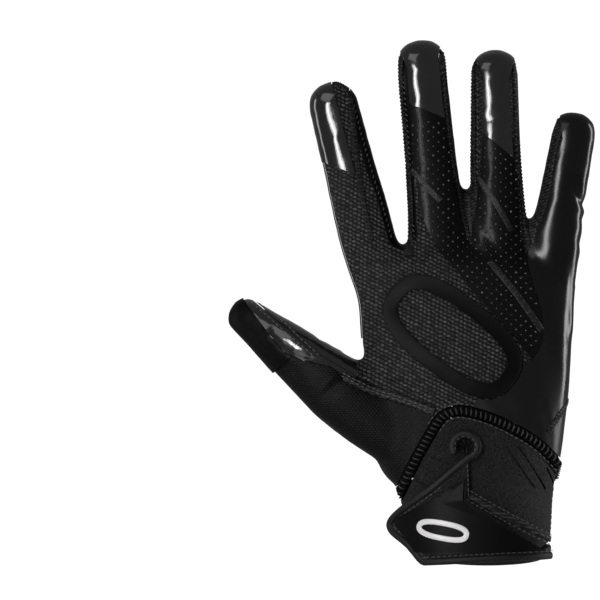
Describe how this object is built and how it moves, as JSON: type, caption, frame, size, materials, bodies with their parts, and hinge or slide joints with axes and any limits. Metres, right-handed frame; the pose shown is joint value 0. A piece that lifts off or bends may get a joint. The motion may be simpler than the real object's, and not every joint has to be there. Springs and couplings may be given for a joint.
{
  "type": "football receiver glove",
  "caption": "Receiver's glove with a glossy grip palm, knitted back, film-covered fingers, padded oval on the knuckles and a lapped wrist strap; worn form, open wrist",
  "frame": {"origin": "Centre of the wrist opening, level with the lowest line of the hem.", "axes": "+Z runs from the wrist to the fingertips, the back of the hand faces -Y, the palm +Y, and the thumb points to -X (a right hand)."},
  "size_m": [0.159, 0.0499, 0.225],
  "materials": {
    "palm_skin": "wet-look coated synthetic, perforated, very glossy",
    "thumb_palm": "wet-look coated synthetic, perforated, very glossy",
    "web_gusset": "wet-look coated synthetic, very glossy",
    "back_knit": "matt spacer mesh with raised pills",
    "thumb_back": "fine printed knit, satin",
    "thumb_cap": "wet-look coated synthetic, very glossy",
    "fourchette_index_middle": "matt stretch knit",
    "fourchette_middle_ring": "matt stretch knit",
    "fourchette_ring_little": "matt stretch knit",
    "cap_index": "wet-look coated synthetic, very glossy",
    "cap_middle": "wet-look coated synthetic, very glossy",
    "cap_ring": "wet-look coated synthetic, very glossy",
    "film_dotted": "thin moulded film with raised dots, satin",
    "film_plain": "thin welded film, satin, glossy on the outer side",
    "knuckle_frame": "moulded raised band, satin",
    "welt": "flat-lock stitched seam in thick thread",
    "thumb_band": "stitched knit tape",
    "wrist_wrap": "foam-backed jersey, matt",
    "keyhole_gusset": "gathered jersey, matt",
    "hem_binding": "folded elastic binding, matt",
    "wrist_strap": "foam-backed jersey, matt",
    "strap_binding": "folded elastic binding, matt",
    "closure_patch": "hook tape, matt",
    "strap_tab": "moulded, satin with plain facets",
    "tab_badge": "raised plain band, semi-matt white"
  },
  "bodies": {
    "root": {"palm_skin": "palm_skin", "thumb_palm": "thumb_palm", "web_gusset": "web_gusset", "back_knit": "back_knit", "thumb_back": "thumb_back", "thumb_cap": "thumb_cap", "fourchette_index_middle": "fourchette_index_middle", "fourchette_middle_ring": "fourchette_middle_ring", "fourchette_ring_little": "fourchette_ring_little", "cap_index": "cap_index", "cap_middle": "cap_middle", "cap_ring": "cap_ring", "film_dotted": "film_dotted", "film_plain": "film_plain", "knuckle_frame": "knuckle_frame", "welt": "welt", "thumb_band": "thumb_band", "wrist_wrap": "wrist_wrap", "keyhole_gusset": "keyhole_gusset", "hem_binding": "hem_binding", "wrist_strap": "wrist_strap", "strap_binding": "strap_binding", "closure_patch": "closure_patch", "strap_tab": "strap_tab", "tab_badge": "tab_badge"}
  },
  "joints": []
}
